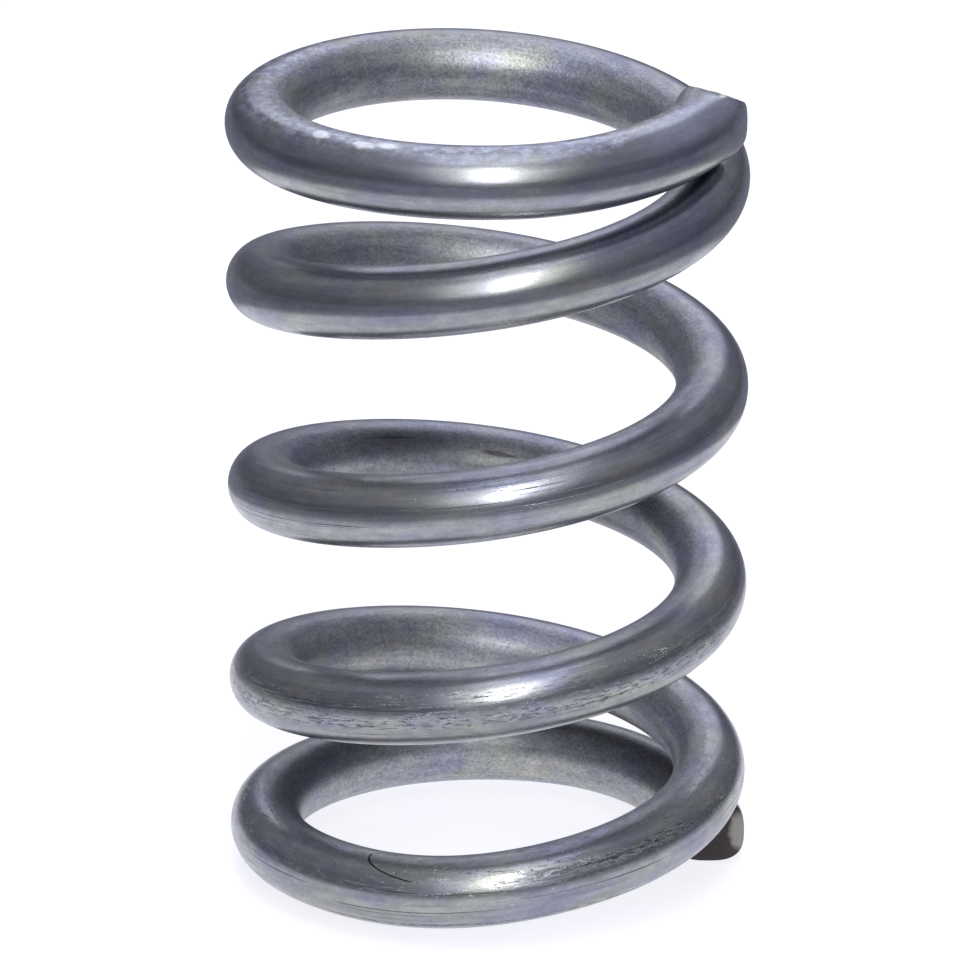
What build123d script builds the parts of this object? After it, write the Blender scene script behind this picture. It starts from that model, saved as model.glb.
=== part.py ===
from build123d import *
import math
import os

# Small compression spring, right-hand wound, closed (squared) ends left unground.
# One length of round wire, so one piece. Millimetres, +Z up along the coil axis.
# Origin: coil axis, level with the lowest point the spring stands on.

# ---- driving dimensions ----
wire_diameter = 2.0
mean_coil_diameter = 12.4
total_turns = 4.97           # from one cut wire end to the other
bottom_tip_angle = 0.0       # direction of the lower wire end about the axis, 0 = +X
active_pitch = 5.76          # rise per turn at mid height
pitch_growth = 0.24          # how much each active turn opens over the one below
end_coil_pitch = 0.2         # rise per turn of the nearly flat end coils
bottom_ramp_turns = 0.15     # turn taken to open from the end coil to full pitch
top_ramp_turns = 0.34
bottom_tip_set = 0.35        # how far the lower tip hangs below its end coil
top_tip_set = 0.25           # how far the upper tip stands above its end coil
tip_set_turns = 0.20         # length of wire, in turns, that is bent at each tip
tip_clearance = 0.08         # closed tip to the coil it closes against
end_break = 0.12             # broken edge round each cut wire end

# ---- derived values ----
wire_radius = wire_diameter / 2
mean_radius = mean_coil_diameter / 2
lead_angle = math.atan(active_pitch / (math.pi * mean_coil_diameter))
closing_rise = (wire_diameter + tip_clearance) / math.cos(lead_angle)
half_turns = total_turns / 2
bottom_full_pitch = active_pitch + pitch_growth * (1 - half_turns)
top_full_pitch = active_pitch + pitch_growth * (half_turns - 1)
# The end coils stay flat until just enough of the first turn is left to climb
# over the tip, so each end closes on its own tip whatever the wire size.
bottom_climb = (closing_rise - end_coil_pitch - bottom_tip_set) / (bottom_full_pitch - end_coil_pitch)
top_climb = (closing_rise - end_coil_pitch - top_tip_set) / (top_full_pitch - end_coil_pitch)
bottom_flat_turns = 1 - bottom_ramp_turns / 2 - bottom_climb
top_flat_turns = 1 - top_ramp_turns / 2 - top_climb
steps_per_turn = 120
points_per_turn = 12


def ease(x):
    x = min(max(x, 0.0), 1.0)
    return x * x * (3 - 2 * x)


def local_pitch(turn):
    opened = active_pitch + pitch_growth * (turn - half_turns)
    from_bottom = ease((turn - bottom_flat_turns) / bottom_ramp_turns)
    from_top = ease((total_turns - turn - top_flat_turns) / top_ramp_turns)
    return end_coil_pitch + (opened - end_coil_pitch) * from_bottom * from_top


def wire_height(turn):
    # add up the local pitch from the lower tip, then bend the two tips
    count = max(1, math.ceil(turn * steps_per_turn))
    step = turn / count
    climbed = sum(local_pitch((i + 0.5) * step) for i in range(count)) * step
    lower_bend = bottom_tip_set * (1 - ease(1 - turn / tip_set_turns))
    upper_bend = top_tip_set * ease(1 - (total_turns - turn) / tip_set_turns)
    return wire_radius + climbed + lower_bend + upper_bend


def wire_point(turn):
    angle = math.radians(bottom_tip_angle) + 2 * math.pi * turn
    return (mean_radius * math.cos(angle), mean_radius * math.sin(angle), wire_height(turn))


# ---- the coiled wire ----
point_count = round(total_turns * points_per_turn)
with BuildPart() as coil_spring:
    with BuildLine() as coil_line:
        Spline([wire_point(total_turns * i / point_count) for i in range(point_count + 1)])
    with BuildSketch(Plane(origin=coil_line.line @ 0, z_dir=coil_line.line % 0)) as wire_section:
        Circle(wire_radius)
    sweep()
    # both cut ends have their rims broken
    cut_faces = coil_spring.faces().filter_by(GeomType.PLANE)
    chamfer(cut_faces.edges(), end_break)

coil_spring.part.label = "coil_spring"
os.makedirs("parts", exist_ok=True)
export_step(coil_spring.part, "parts/coil_spring.step")
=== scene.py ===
# %% [markdown]
# # A small compression spring in drawn steel wire
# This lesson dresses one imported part, a closed-end compression spring, in
# Blender. Everything made here sits round it in metres, in the same axes: +Z
# runs up the middle of the coil.
# %% Load the solid model
import bpy
import bmesh
import math
from mathutils import Matrix, Vector


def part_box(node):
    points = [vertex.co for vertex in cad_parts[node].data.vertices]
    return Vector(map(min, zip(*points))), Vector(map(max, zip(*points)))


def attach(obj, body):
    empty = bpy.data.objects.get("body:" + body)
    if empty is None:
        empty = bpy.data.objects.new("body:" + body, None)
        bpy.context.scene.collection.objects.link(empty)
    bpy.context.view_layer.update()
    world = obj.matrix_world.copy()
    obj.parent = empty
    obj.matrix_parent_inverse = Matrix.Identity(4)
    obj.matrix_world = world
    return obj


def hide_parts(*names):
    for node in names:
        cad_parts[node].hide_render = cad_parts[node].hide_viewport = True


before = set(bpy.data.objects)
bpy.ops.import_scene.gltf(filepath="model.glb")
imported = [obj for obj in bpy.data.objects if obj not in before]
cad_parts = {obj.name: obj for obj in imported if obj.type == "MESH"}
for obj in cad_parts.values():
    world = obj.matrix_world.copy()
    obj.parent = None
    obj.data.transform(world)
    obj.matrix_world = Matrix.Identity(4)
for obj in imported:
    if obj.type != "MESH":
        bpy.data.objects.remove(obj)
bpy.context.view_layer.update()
spring_low, spring_high = (Vector(corner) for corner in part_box("coil_spring"))
print("spring box, mm:", [round((b - a) * 1000, 2) for a, b in zip(spring_low, spring_high)])

# %% [markdown]
# ## Three small helpers
# Lengths on a spring are drawn in millimetres, and Blender works in metres, so
# one factor does the change. Colours are written as sRGB hex, as a paint chart
# gives them, and one function turns them linear. One function adds a shader
# node with its settings and its links.
# %% Helpers
MM = 0.001


def linear(hex_colour):
    channels = [int(hex_colour[i:i + 2], 16) / 255 for i in (1, 3, 5)]
    return [c / 12.92 if c <= 0.04045 else ((c + 0.055) / 1.055) ** 2.4 for c in channels] + [1.0]


def add(tree, kind, settings=None, **inputs):
    # an input takes a value, a socket, or a node, which stands for its first live output
    node = tree.nodes.new(kind)
    for name, value in (settings or {}).items():
        setattr(node, name, value)
    for name, source in inputs.items():
        key = int(name[1:]) if name[0] == "i" and name[1:].isdigit() else name.replace("_", " ")
        if isinstance(source, bpy.types.Node):
            source = next(socket for socket in source.outputs if socket.enabled)
        if isinstance(source, bpy.types.NodeSocket):
            tree.links.new(source, node.inputs[key])
        else:
            node.inputs[key].default_value = source
    return node


# %% [markdown]
# ## The camera
# A long lens from a quarter of a metre away looks slightly down on the spring,
# so the coils show as open ellipses and hardly shrink towards the back.
# %% Camera
camera_tilt = math.radians(18.47)
camera_distance = 256.8 * MM
aim = Vector((-0.072, 0.0, 11.32)) * MM
camera_data = bpy.data.cameras.new("camera")
camera_data.sensor_width = 36.0
camera_data.lens = 343.4
camera_data.clip_start = 0.01
camera_data.clip_end = 10.0
camera = bpy.data.objects.new("camera", camera_data)
bpy.context.collection.objects.link(camera)
away = Vector((0.0, -math.cos(camera_tilt), math.sin(camera_tilt)))
camera.location = aim + away * camera_distance
camera.rotation_euler = away.to_track_quat("Z", "Y").to_euler()
bpy.context.scene.camera = camera
print("camera stands", round(camera.location.z * 1000), "mm above the floor")

# %% [markdown]
# ## How the wire climbs
# A compression spring with closed ends is wound flat for most of a turn, opens
# to its working pitch, and closes again at the top. The rise per turn is one
# short rule of how far round the wire has gone, and adding it up step by step
# gives the height anywhere. These sizes are the same as the solid's.
# %% The coil's sizes, in millimetres and turns
wire_radius = 1.0
mean_radius = 6.2
total_turns = 4.97
bottom_tip_angle = 0.0
active_pitch = 5.76
pitch_growth = 0.24
end_coil_pitch = 0.2
bottom_ramp_turns = 0.15
top_ramp_turns = 0.34
bottom_tip_set = 0.35
top_tip_set = 0.25
tip_set_turns = 0.20
tip_clearance = 0.03
half_turns = total_turns / 2
lead_angle = math.atan(active_pitch / (2 * math.pi * mean_radius))
closing_rise = (2 * wire_radius + tip_clearance) / math.cos(lead_angle)
bottom_full_pitch = active_pitch + pitch_growth * (1 - half_turns)
top_full_pitch = active_pitch + pitch_growth * (half_turns - 1)
bottom_climb = (closing_rise - end_coil_pitch - bottom_tip_set) / (bottom_full_pitch - end_coil_pitch)
top_climb = (closing_rise - end_coil_pitch - top_tip_set) / (top_full_pitch - end_coil_pitch)
bottom_flat_turns = 1 - bottom_ramp_turns / 2 - bottom_climb
top_flat_turns = 1 - top_ramp_turns / 2 - top_climb


def ease(x):
    x = min(max(x, 0.0), 1.0)
    return x * x * (3 - 2 * x)


def local_pitch(turn):
    opened = active_pitch + pitch_growth * (turn - half_turns)
    from_bottom = ease((turn - bottom_flat_turns) / bottom_ramp_turns)
    from_top = ease((total_turns - turn - top_flat_turns) / top_ramp_turns)
    return end_coil_pitch + (opened - end_coil_pitch) * from_bottom * from_top


def tip_bend(turn):
    lower = bottom_tip_set * (1 - ease(1 - turn / tip_set_turns))
    upper = top_tip_set * ease(1 - (total_turns - turn) / tip_set_turns)
    return lower + upper


# %% [markdown]
# ## Winding the wire
# A coiling machine feeds straight wire round an arbor. The mesh is wound the
# same way: one ring of points, the wire's round section, is spun a little about
# the coil axis and lifted by the local pitch, again and again. After each step
# the new ring is tipped so that it stays square to the wire. Every point also
# keeps where it was on the straight wire, before winding, in an attribute: two
# numbers across the wire and one along it. The drawing lines follow that.
# %% Wind the coil
ring_points = 56
steps = round(total_turns * 132)
turn_step = total_turns / steps
upset_length = 1.5          # millimetres of wire that are squared at each end
upset_power = 0.9           # how square: 0 stays round


def slope(turn):
    h = 0.5 * turn_step
    bend = tip_bend(min(turn + h, total_turns)) - tip_bend(max(turn - h, 0.0))
    rise = local_pitch(min(max(turn, 0.0), total_turns)) + bend / turn_step
    return math.atan(rise / (2 * math.pi * mean_radius))


def wire_frame(turn, height):
    angle = math.radians(bottom_tip_angle) + 2 * math.pi * turn
    lead = slope(turn)
    out = Vector((math.cos(angle), math.sin(angle), 0.0))
    ahead = Vector((-math.sin(angle) * math.cos(lead), math.cos(angle) * math.cos(lead), math.sin(lead)))
    up = out.cross(ahead)
    centre = (out * mean_radius + Vector((0, 0, height))) * MM
    return centre, out, up, ahead


spring_mesh = bmesh.new()
run_layer = spring_mesh.verts.layers.float_vector.new("wire_run")
height = wire_radius + spring_low[2] / MM
centre, out, up, ahead = wire_frame(0.0, height)
placed = Matrix.Translation(centre) @ Matrix((out, up, -ahead)).transposed().to_4x4()
ring = bmesh.ops.create_circle(spring_mesh, segments=ring_points, radius=wire_radius * MM,
                               matrix=placed)["verts"]
for vert in ring:
    offset = (vert.co - centre) / MM
    vert[run_layer] = (offset.dot(out), offset.dot(up), 0.0)
edges = list({edge for vert in ring for edge in vert.link_edges})
first_edges = list(edges)
run = 0.0
rings = [(ring, centre, 0.0, ahead)]
for i in range(steps):
    turn = (i + 1) * turn_step
    climb = local_pitch((i + 0.5) * turn_step) * turn_step + tip_bend(turn) - tip_bend(i * turn_step)
    spun = bmesh.ops.spin(spring_mesh, geom=edges, cent=(0, 0, 0), axis=(0, 0, 1), dvec=(0, 0, climb * MM),
                          angle=2 * math.pi * turn_step, steps=1, use_duplicate=False)["geom_last"]
    ring = [part for part in spun if isinstance(part, bmesh.types.BMVert)]
    edges = [part for part in spun if isinstance(part, bmesh.types.BMEdge)]
    tip = slope(turn) - slope(i * turn_step)
    height += climb
    run += math.hypot(2 * math.pi * mean_radius * turn_step, climb)
    centre, out, up, ahead = wire_frame(turn, height)
    bmesh.ops.rotate(spring_mesh, verts=ring, cent=centre, matrix=Matrix.Rotation(tip, 3, out))
    for vert in ring:
        vert[run_layer].z = run
    rings.append((ring, centre, run, ahead))
wire_length = run
print("wire length", round(wire_length, 1), "mm,", len(spring_mesh.verts), "points")
miss = max((sum((v.co for v in ring), Vector()) / len(ring) - centre).length for ring, centre, *_ in rings)
print("widest miss of a ring from its place, mm:", round(miss / MM, 4))

# %% [markdown]
# ## The cut ends
# Cropping with a blade usually squares the last millimetre a little and rolls
# the rim over. Each end ring is pushed towards a rounded square, then the end
# is closed by a face, inset and pushed back for the rolled rim. The upper tip
# also has a small sloping flat. The way that it slopes is partly a guess.
# %% Crop the two ends
for ring, centre, at, _ in rings:
    from_end = min(at, wire_length - at)
    squared = ease(1 - from_end / upset_length)
    if squared <= 0:
        continue
    power = 2 + upset_power * squared
    for vert in ring:
        across, above, _ = vert[run_layer]
        reach = (abs(across / wire_radius) ** power + abs(above / wire_radius) ** power) ** (-1 / power)
        vert.co = centre + (vert.co - centre) * reach

flat_normal = Vector((0.297, 0.303, 0.906)).normalized()
flat_height = 22.28 * MM
flat_reach = 4              # millimetres of wire, from the upper end, that the flat may touch
lower_squash = 0.1          # share of its height that the lower tip loses
squash_full, squash_gone = 1, 3     # millimetres from the lower end
for ring, centre, at, ahead in rings:
    # each ring is pressed within its own plane, so the cut face stays flat
    inwards = flat_normal - ahead * flat_normal.dot(ahead)
    squash = lower_squash * ease((squash_gone - at) / (squash_gone - squash_full))
    for vert in ring:
        if wire_length - at < flat_reach:
            too_high = max(0.0, flat_normal.dot(vert.co) - flat_height)
            vert.co -= inwards * (too_high / flat_normal.dot(inwards))
        crown = centre.z + wire_radius * MM
        vert.co.z = crown - (crown - vert.co.z) * (1 - squash)

rim_insets = ((0.03, 0.02), (0.05, 0.01), (0.2, 0.0))     # width and depth of each, millimetres
cut_faces = []
for end_edges in (first_edges, edges):
    cut_faces += bmesh.ops.edgeloop_fill(spring_mesh, edges=end_edges)["faces"]
bmesh.ops.recalc_face_normals(spring_mesh, faces=spring_mesh.faces)
for face in cut_faces:
    face.material_index = 1
    for thickness, depth in rim_insets:
        bmesh.ops.inset_region(spring_mesh, faces=[face], thickness=thickness * MM, depth=depth * MM,
                               use_even_offset=True)
for face in spring_mesh.faces:
    face.smooth = True
wire = bpy.data.meshes.new("spring_wire")
spring_mesh.to_mesh(wire)
spring_mesh.free()
spring = bpy.data.objects.new("spring_wire", wire)
bpy.context.collection.objects.link(spring)
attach(spring, "root")
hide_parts("coil_spring")
print("faces", len(wire.polygons))

# %% [markdown]
# ## Drawn spring steel
# Carbon spring wire is pulled through dies, which leaves fine lines along it
# and a satin grey skin. It is a metal, so it shows what is round it, blurred:
# broad soft streaks, with a whiter heart where the lamp is. The die lines are a
# noise squeezed across the straight wire and stretched along it, so they run
# round the coil with the wire. A finer grain lies over them, and is strongest
# on the inside of the coil, where bending crumples the skin.
# %% Material: drawn spring steel
drawn = bpy.data.materials.new("drawn_spring_steel_wire")
drawn.use_nodes = True
tree = drawn.node_tree
tree.nodes.clear()
where = add(tree, "ShaderNodeAttribute", {"attribute_name": "wire_run"})
straight = where.outputs["Vector"]
parts = add(tree, "ShaderNodeSeparateXYZ", None, Vector=straight)


def stretched_noise(across, along, detail=3.0, roughness=0.6, seed=0.0):
    # across and along are the size of one mark on the wire, in millimetres
    squeeze = add(tree, "ShaderNodeMapping", None, Vector=straight, Location=(seed, seed, seed),
                  Scale=(1 / across, 1 / across, 1 / along))
    return add(tree, "ShaderNodeTexNoise", None, Vector=squeeze, Scale=1.0, Detail=detail,
               Roughness=roughness)


MULTIPLY = {"operation": "MULTIPLY"}
SUBTRACT = {"operation": "SUBTRACT"}
LARGER = {"operation": "MAXIMUM"}
COLOURS = {"data_type": "RGBA"}
TINT = {"data_type": "RGBA", "blend_type": "MULTIPLY"}
bands = stretched_noise(0.26, 4.0, 3.0, 0.62)
die_lines = stretched_noise(0.06, 3.0, 3.0, 0.6, 11.0)
grain = stretched_noise(0.08, 0.10, 3.0, 0.7, 23.0)
mottle = stretched_noise(0.30, 0.50, 4.0, 0.65, 47.0)
clouds = stretched_noise(1.2, 2.0, 5.0, 0.62, 37.0)
print("steel drawn from", len(tree.nodes), "nodes so far")

# %% Colour and gloss of the plain steel, with painted light on the inside
inside = add(tree, "ShaderNodeMapRange", None, Value=parts.outputs["X"], From_Min=0.45, From_Max=-0.5)
cloud_share = add(tree, "ShaderNodeMapRange", None, Value=clouds, From_Min=0.36, From_Max=0.64)
clean_steel = add(tree, "ShaderNodeMix", COLOURS, i0=cloud_share, i6=linear("#999aaa"), i7=linear("#abaca6"))
band_share = add(tree, "ShaderNodeMapRange", None, Value=bands, From_Min=0.36, From_Max=0.64)
lined_steel = add(tree, "ShaderNodeMix", COLOURS, i0=band_share, i6=linear("#e4e5e8"), i7=linear("#ffffff"))
steel = add(tree, "ShaderNodeMix", TINT, i0=1.0, i6=clean_steel, i7=lined_steel)
speckle_depth = add(tree, "ShaderNodeMapRange", None, Value=inside, To_Min=0.25, To_Max=0.95)
grain_swing = add(tree, "ShaderNodeMapRange", None, Value=grain, From_Min=0.2, From_Max=0.8,
                  To_Min=-0.5, To_Max=0.5)
grain_light = add(tree, "ShaderNodeMath", {"operation": "MULTIPLY_ADD"}, i0=grain_swing, i1=speckle_depth,
                  i2=1.0)
mottle_light = add(tree, "ShaderNodeMapRange", None, Value=mottle, From_Min=0.32, From_Max=0.68,
                   To_Min=0.84, To_Max=1.10)
# painted light: the inside of the coil is made a little lighter, standing for light on the inside faces; it
# is not a finish
painted_inside_light = add(tree, "ShaderNodeMapRange", None, Value=inside, To_Min=1.0, To_Max=1.17)
outer_roughness = add(tree, "ShaderNodeMapRange", None, Value=mottle, From_Min=0.3, From_Max=0.7,
                      To_Min=0.32, To_Max=0.24)
roughness = add(tree, "ShaderNodeMix", {"data_type": "FLOAT"}, i0=inside, i2=outer_roughness, i3=0.45)

# %% [markdown]
# ## Marks of use and storage, and painted light and shade
# A spring from a drawer is never even. Pale dull spots of corrosion sit on the
# top coil, where it lay open to damp. Dark broken scratches follow the wire on
# the two lowest coils, where the coiling tools and its neighbours rubbed it. A
# few specks of dust and one short fibre lie on the steel. Painted light and shade
# are laid on with the marks: a pale painted highlight on top of the upper tip,
# and painted shade inside the third coil and the lowest one. Each mark has its
# place along the wire, in turns from the lower end, and round the wire, in
# degrees from the outermost line, with up as positive.
# %% Where a mark lies
turn_of_wire = 39           # millimetres of wire in one turn, near enough for a soft edge
around_wire = add(tree, "ShaderNodeMath", {"operation": "ARCTAN2"}, i0=parts.outputs["Y"],
                  i1=parts.outputs["X"])


def run_at(turn):
    return rings[min(round(turn / turn_step), steps)][2]


def window(value, low, high, soft):
    smooth = {"interpolation_type": "SMOOTHSTEP"}
    rise = add(tree, "ShaderNodeMapRange", smooth, Value=value, From_Min=low - soft, From_Max=low + soft)
    fall = add(tree, "ShaderNodeMapRange", smooth, Value=value, From_Min=high + soft, From_Max=high - soft)
    return add(tree, "ShaderNodeMath", MULTIPLY, i0=rise, i1=fall)


def zone(turns, degrees, soft_turns=0.04, soft_degrees=8):
    along = window(parts.outputs["Z"], run_at(turns[0]), run_at(turns[1]), soft_turns * turn_of_wire)
    low, high, soft = (math.radians(angle) for angle in (*degrees, soft_degrees))
    across = window(around_wire, low, high, soft)
    return add(tree, "ShaderNodeMath", MULTIPLY, i0=along, i1=across)


def spot(turn, degrees, length, height, ragged):
    # an uneven patch, length along the wire and height round it in millimetres
    along = add(tree, "ShaderNodeMath", SUBTRACT, i0=parts.outputs["Z"], i1=run_at(turn))
    round_it = add(tree, "ShaderNodeMath", SUBTRACT, i0=around_wire, i1=math.radians(degrees))
    half_lengths = add(tree, "ShaderNodeMath", MULTIPLY, i0=along, i1=2 / length)
    half_heights = add(tree, "ShaderNodeMath", MULTIPLY, i0=round_it, i1=2 / height)
    place = add(tree, "ShaderNodeCombineXYZ", None, X=half_lengths, Y=half_heights)
    far = add(tree, "ShaderNodeVectorMath", {"operation": "LENGTH"}, Vector=place)
    edge = add(tree, "ShaderNodeMapRange", None, Value=ragged, From_Min=0.3, From_Max=0.7,
               To_Min=-0.5, To_Max=0.5)
    uneven = add(tree, "ShaderNodeMath", {"operation": "ADD"}, i0=far, i1=edge)
    return add(tree, "ShaderNodeMapRange", None, Value=uneven, From_Min=1.3, From_Max=0.7)


def strongest(marks):
    most = marks[0]
    for mark in marks[1:]:
        most = add(tree, "ShaderNodeMath", LARGER, i0=most, i1=mark)
    return most


# %% Pale corrosion on the top coil, and a painted highlight on the upper tip
blotches = stretched_noise(0.45, 0.7, 4.0, 0.6, 5.0)
crust = stretched_noise(0.24, 0.34, 4.0, 0.65, 71.0)
crusted = add(tree, "ShaderNodeMapRange", None, Value=crust, From_Min=0.46, From_Max=0.58)
crusted = add(tree, "ShaderNodeMath", MULTIPLY, i0=crusted, i1=zone((4.36, 4.99), (52, 120), 0.05, 22))
patchy = add(tree, "ShaderNodeMapRange", None, Value=blotches, From_Min=0.40, From_Max=0.56,
             To_Min=0.4, To_Max=1.0)
coil_haze = add(tree, "ShaderNodeMath", MULTIPLY, i0=crusted, i1=patchy)
# painted highlight: a pale lilac sheen over the top of the upper tip, which shares one mask with the
# corrosion haze
tip_painted_highlight = add(tree, "ShaderNodeMath", MULTIPLY, i0=zone((4.86, 4.99), (26, 84), 0.03, 12), i1=0.55)
haze_and_tip_highlight = strongest([coil_haze, tip_painted_highlight])
# the last pale spot, on the upper tip, is a painted highlight; the first three are corrosion
pale_spots = ((4.631, 72, 0.48, 0.32), (4.665, 67, 0.60, 0.27), (4.681, 73, 0.60, 0.25),
              (4.955, 62, 0.4, 0.2))
pale = strongest([spot(*place, crust) for place in pale_spots])
print("pale spots:", len(pale_spots))

# %% Dark scratches and dust
# each scuff: its pattern, where that starts to show and is full, its turns, its degrees, its two soft edges
broken = stretched_noise(0.045, 0.8, 4.0, 0.75, 61.0)
pits = stretched_noise(0.06, 0.24, 4.0, 0.75, 97.0)
long_scratches = stretched_noise(0.045, 5.0, 2.0, 0.5, 83.0)
scuffs = (
    (broken, 0.56, 0.62, (1.50, 1.95), (18, 38), 0.03, 6),
    (pits, 0.53, 0.62, (1.50, 1.93), (-18, 10), 0.03, 6),
    (pits, 0.45, 0.54, (0.64, 0.84), (-50, -42), 0.02, 3),
    (pits, 0.47, 0.57, (0.77, 0.90), (22, 40), 0.02, 6),
    (pits, 0.58, 0.66, (0.30, 0.98), (20, 90), 0.05, 20),
    (long_scratches, 0.64, 0.70, (0.35, 3.2), (-40, 50), 0.3, 15),
)
dark_marks = []
for pattern, faint, full, *place in scuffs:
    shown = add(tree, "ShaderNodeMapRange", None, Value=pattern, From_Min=faint, From_Max=full)
    dark_marks.append(add(tree, "ShaderNodeMath", MULTIPLY, i0=shown, i1=zone(*place)))
inner_scratches = ((2.24, 148, 0.9, 0.12), (2.33, 136, 1.6, 0.10))
dark_marks += [spot(*place, broken) for place in inner_scratches]
dark = strongest(dark_marks)
cells = add(tree, "ShaderNodeTexVoronoi", None, Vector=straight, Scale=0.9, Randomness=1.0)
dust = add(tree, "ShaderNodeMapRange", None, Value=cells, From_Min=0.030, From_Max=0.018)
print("dark marks:", len(dark_marks))

# %% One short fibre on the lowest coil
# it crosses the top of the wire and curls along it: the curl is a cube law
fibre_top, fibre_foot = math.radians(84), math.radians(35)
from_top = add(tree, "ShaderNodeMath", SUBTRACT, i0=fibre_top, i1=around_wire)
crossed = add(tree, "ShaderNodeMapRange", None, Value=from_top, From_Max=0.87)
curl = add(tree, "ShaderNodeMath", {"operation": "POWER"}, i0=crossed, i1=3.0)
fibre_run = add(tree, "ShaderNodeMapRange", None, Value=curl, To_Min=run_at(0.664), To_Max=run_at(0.705))
aside = add(tree, "ShaderNodeMath", SUBTRACT, i0=parts.outputs["Z"], i1=fibre_run)
off_fibre = add(tree, "ShaderNodeMath", {"operation": "ABSOLUTE"}, i0=aside)
fibre_half_width = add(tree, "ShaderNodeMapRange", None, Value=curl, To_Min=0.026, To_Max=0.10)
within = add(tree, "ShaderNodeMath", {"operation": "LESS_THAN"}, i0=off_fibre, i1=fibre_half_width)
fibre = add(tree, "ShaderNodeMath", MULTIPLY, i0=within, i1=window(around_wire, fibre_foot, fibre_top, 0.02))

# %% Lay the marks, the painted shade and the painted highlights over the steel
# painted shade: the two dark patches, inside the third coil and the lowest one,
# darken the steel where the coils above shade it; they are not a finish
third_coil_painted_shade = zone((2.06, 2.38), (118, 158), 0.05, 18)
lowest_coil_painted_shade = zone((0.02, 0.62), (96, 154), 0.03, 24)
# the haze layer is corrosion on the top coil plus a painted highlight on the upper tip, and the last pale
# spot is a painted highlight too
layers = (
    (third_coil_painted_shade, 0.92, "#505056"),
    (lowest_coil_painted_shade, 0.8, "#515258"),
    (haze_and_tip_highlight, 0.62, "#c3c8dc"),
    (pale, 1.0, "#e4e8f2"),
    (dark, 0.72, "#33343b"),
    (fibre, 1.0, "#26262c"),
    (dust, 0.7, "#e0e2ea"),
)
steel_with_marks_and_painted_light = steel
for mark, strength, colour in layers:
    amount = add(tree, "ShaderNodeMath", MULTIPLY, i0=mark, i1=strength)
    steel_with_marks_and_painted_light = add(tree, "ShaderNodeMix", COLOURS, i0=amount, i6=steel_with_marks_and_painted_light, i7=linear(colour))
dull_haze_and_tip_highlight = add(tree, "ShaderNodeMath", MULTIPLY, i0=haze_and_tip_highlight, i1=0.35)
dull_dust = add(tree, "ShaderNodeMath", MULTIPLY, i0=dust, i1=0.7)
dull = strongest([pale, dull_haze_and_tip_highlight, dull_dust])
metallic = add(tree, "ShaderNodeMapRange", None, Value=dull, To_Min=1.0, To_Max=0.15)
print("layers of marks:", len(layers))

# %% Relief and shader
outside = add(tree, "ShaderNodeMapRange", None, Value=inside, To_Min=1.0, To_Max=0.25)
line_height = add(tree, "ShaderNodeMath", MULTIPLY, i0=die_lines, i1=outside)
line_bump = add(tree, "ShaderNodeBump", None, Strength=0.5, Distance=0.002 * MM, Height=line_height)
band_height = add(tree, "ShaderNodeMath", MULTIPLY, i0=bands, i1=outside)
band_bump = add(tree, "ShaderNodeBump", None, Strength=0.5, Distance=0.003 * MM, Height=band_height,
                Normal=line_bump)
grain_depth = add(tree, "ShaderNodeMapRange", None, Value=inside, To_Min=0.14, To_Max=0.95)
grain_height = add(tree, "ShaderNodeMath", MULTIPLY, i0=grain, i1=grain_depth)
grain_bump = add(tree, "ShaderNodeBump", None, Strength=0.9, Distance=0.012 * MM, Height=grain_height,
                 Normal=band_bump)
scratch_bump = add(tree, "ShaderNodeBump", {"invert": True}, Strength=0.6, Distance=0.01 * MM, Height=dark,
                   Normal=grain_bump)
skin_light = add(tree, "ShaderNodeMath", MULTIPLY, i0=grain_light, i1=mottle_light)
# painted light: the lighter inside is multiplied into the grain and mottle of the skin here
skin_tone_and_painted_inside_light = add(tree, "ShaderNodeMath", MULTIPLY, i0=skin_light, i1=painted_inside_light)
# the base colour carries the marks, the painted shade, the painted highlights and the painted inside light
steel_colour_with_painted_light = add(tree, "ShaderNodeMix", TINT, i0=1.0, i6=steel_with_marks_and_painted_light, i7=skin_tone_and_painted_inside_light)
shader = add(tree, "ShaderNodeBsdfPrincipled", None, Base_Color=steel_colour_with_painted_light, Metallic=metallic,
             Roughness=roughness, Normal=scratch_bump)
add(tree, "ShaderNodeOutputMaterial", None, Surface=shader)
spring.data.materials.append(drawn)
print("nodes in the drawn steel:", len(tree.nodes))

# %% [markdown]
# ## The sheared end
# A cropped end is torn dark steel with a brighter burnished band on the side
# that the blade rubbed. A noise makes the tear, and the band follows the place
# across the wire.
# %% Material: the sheared end
sheared = bpy.data.materials.new("sheared_steel_end")
sheared.use_nodes = True
shear_tree = sheared.node_tree
shear_tree.nodes.clear()
face_place = add(shear_tree, "ShaderNodeAttribute", {"attribute_name": "wire_run"}).outputs["Vector"]
face_parts = add(shear_tree, "ShaderNodeSeparateXYZ", None, Vector=face_place)
torn = add(shear_tree, "ShaderNodeTexNoise", None, Vector=face_place, Scale=4.0, Detail=4.0)
rubbed = add(shear_tree, "ShaderNodeMath", {"operation": "MULTIPLY_ADD"}, i0=torn, i1=0.2,
             i2=face_parts.outputs["X"])
burnish = add(shear_tree, "ShaderNodeMapRange", None, Value=rubbed, From_Min=0.84, From_Max=1.02)
face_colour = add(shear_tree, "ShaderNodeMix", COLOURS, i0=burnish, i6=linear("#454041"),
                  i7=linear("#98938f"))
face_bump = add(shear_tree, "ShaderNodeBump", None, Strength=0.8, Distance=0.03 * MM, Height=torn)
shear_shader = add(shear_tree, "ShaderNodeBsdfPrincipled", None, Base_Color=face_colour, Metallic=0.8,
                   Roughness=0.5, Normal=face_bump)
add(shear_tree, "ShaderNodeOutputMaterial", None, Surface=shear_shader)
spring.data.materials.append(sheared)
print("nodes in the sheared end:", len(shear_tree.nodes))

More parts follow.
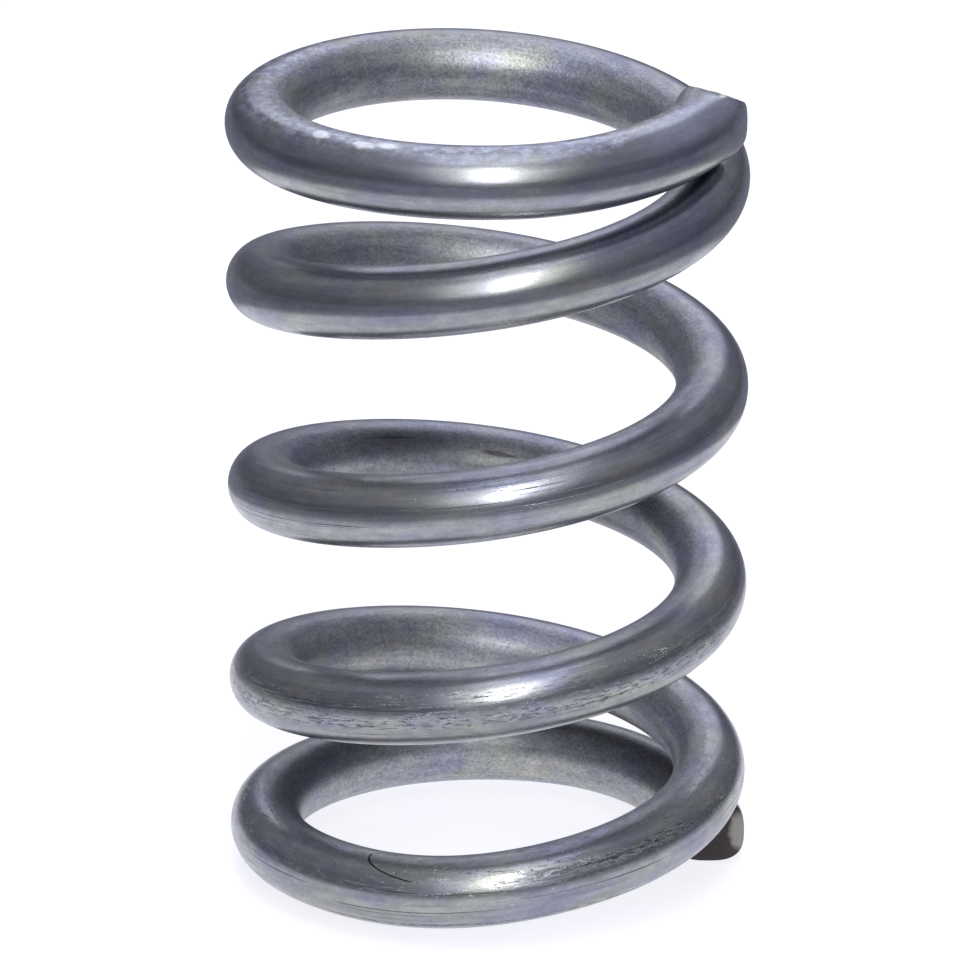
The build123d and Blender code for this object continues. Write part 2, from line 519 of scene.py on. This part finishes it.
# %% [markdown]
# ## Floor, lamps and air
# The spring stands on white paper. The paper glows a little to the camera and in
# the steel, so that it reads as white while the lamps stay plain, and it still
# takes the spring's shadow. A wide soft lamp hangs above and one behind. A soft
# lamp in front makes the long streak on each coil, and a small lamp in the
# middle of it makes the white heart of the streak.
# %% Floor
floor_half = 1.5
floor_mesh = bmesh.new()
bmesh.ops.create_grid(floor_mesh, x_segments=2, y_segments=2, size=floor_half,
                      matrix=Matrix.Translation((0, 0, spring_low[2])))
floor_data = bpy.data.meshes.new("floor")
floor_mesh.to_mesh(floor_data)
floor_mesh.free()
floor = bpy.data.objects.new("floor", floor_data)
bpy.context.collection.objects.link(floor)
paper = bpy.data.materials.new("white_paper_sweep")
paper.use_nodes = True
sheet = paper.node_tree
sheet.nodes.clear()
seen = add(sheet, "ShaderNodeLightPath")
straight_or_mirrored = add(sheet, "ShaderNodeMath", LARGER,
                           i0=seen.outputs["Is Camera Ray"], i1=seen.outputs["Is Glossy Ray"])
seen_at_all = add(sheet, "ShaderNodeMath", LARGER, i0=straight_or_mirrored,
                  i1=seen.outputs["Is Transmission Ray"])
glow_level = add(sheet, "ShaderNodeMath", MULTIPLY, i0=seen_at_all, i1=0.80)
matt = add(sheet, "ShaderNodeBsdfDiffuse", None, Color=linear("#a2a3aa"))
glow = add(sheet, "ShaderNodeEmission", None, Color=linear("#fbfbff"), Strength=glow_level)
both = add(sheet, "ShaderNodeAddShader", None, i0=matt, i1=glow)
add(sheet, "ShaderNodeOutputMaterial", None, Surface=both)
floor_data.materials.append(paper)
print("paper sweep, metres across:", 2 * floor_half)

# %% [markdown]
# A steel part on nothing but white looks flat. A dark table beyond the paper
# gives each coil its dark line under the streak. The table is a flat ring that
# only reflections see, so the picture's own background stays white.
# %% A dark table seen only in the steel
paper_radius = 0.036
table_radius = 1.4
table_lift = 0.2 * MM
table_mesh = bmesh.new()
near = table_mesh.verts.new((-paper_radius, 0, spring_low.z + table_lift))
far = table_mesh.verts.new((-table_radius, 0, spring_low.z + table_lift))
side = table_mesh.edges.new((near, far))
bmesh.ops.spin(table_mesh, geom=[side], cent=(0, 0, 0), axis=(0, 0, 1), angle=2 * math.pi, steps=64,
               use_merge=True)
bmesh.ops.recalc_face_normals(table_mesh, faces=table_mesh.faces)
table_data = bpy.data.meshes.new("dark_table")
table_mesh.to_mesh(table_data)
table_mesh.free()
table = bpy.data.objects.new("dark_table", table_data)
bpy.context.collection.objects.link(table)
table.visible_camera = False
table.visible_diffuse = False
table.visible_shadow = False
table.visible_transmission = False
slate = bpy.data.materials.new("dark_slate_table")
slate.use_nodes = True
slate.node_tree.nodes["Principled BSDF"].inputs["Base Color"].default_value = linear("#9a9aa6")
slate.node_tree.nodes["Principled BSDF"].inputs["Roughness"].default_value = 0.9
table_data.materials.append(slate)
print("dark table from", paper_radius, "to", table_radius, "m")

# %% Lamps
middle = Vector((0.0, 0.0, (spring_low[2] + spring_high[2]) / 2))


def soft_lamp(name, around, above, distance, size, radiance, colour):
    data = bpy.data.lights.new(name, "AREA")
    data.shape = "RECTANGLE"
    data.size, data.size_y = size
    data.energy = radiance * math.pi * size[0] * size[1]
    data.color = linear(colour)[:3]
    lamp = bpy.data.objects.new(name, data)
    bpy.context.collection.objects.link(lamp)
    turn, lift = math.radians(around), math.radians(above)
    towards = Vector((math.sin(turn) * math.cos(lift), -math.cos(turn) * math.cos(lift), math.sin(lift)))
    lamp.location = middle + towards * distance
    lamp.rotation_euler = towards.to_track_quat("Z", "Y").to_euler()
    print(name, "at", round(distance, 2), "m")


soft_lamp("overhead_softbox", 0, 90, 0.70, (0.36, 0.60), 1.45, "#f1f5ff")
soft_lamp("back_softbox", 180, 42, 0.80, (0.55, 0.60), 1.05, "#f0f2ff")
soft_lamp("front_softbox", 0, 40, 0.50, (0.44, 0.44), 0.9, "#f6fbfa")
soft_lamp("small_front_lamp", 2, 40, 0.48, (0.036, 0.34), 26.0, "#fdfef4")

# %% Air
world = bpy.data.worlds.new("studio_air")
world.use_nodes = True
bpy.context.scene.world = world
air = world.node_tree
air.nodes.clear()
direction = add(air, "ShaderNodeTexCoord").outputs["Generated"]
split = add(air, "ShaderNodeSeparateXYZ", None, Vector=direction)
fade = add(air, "ShaderNodeValToRGB", None, Fac=split.outputs["Z"])
fade.color_ramp.elements[0].position = 0.05
fade.color_ramp.elements[0].color = linear("#65666f")
fade.color_ramp.elements[1].position = 0.8
fade.color_ramp.elements[1].color = linear("#a4a5b1")
above_horizon = fade.color_ramp.elements.new(0.2)
above_horizon.color = linear("#7d7f8a")
air_glow = add(air, "ShaderNodeBackground", None, Color=fade, Strength=1.0)
add(air, "ShaderNodeOutputWorld", None, Surface=air_glow)
bpy.context.scene.view_settings.view_transform = "Standard"
print("air set")
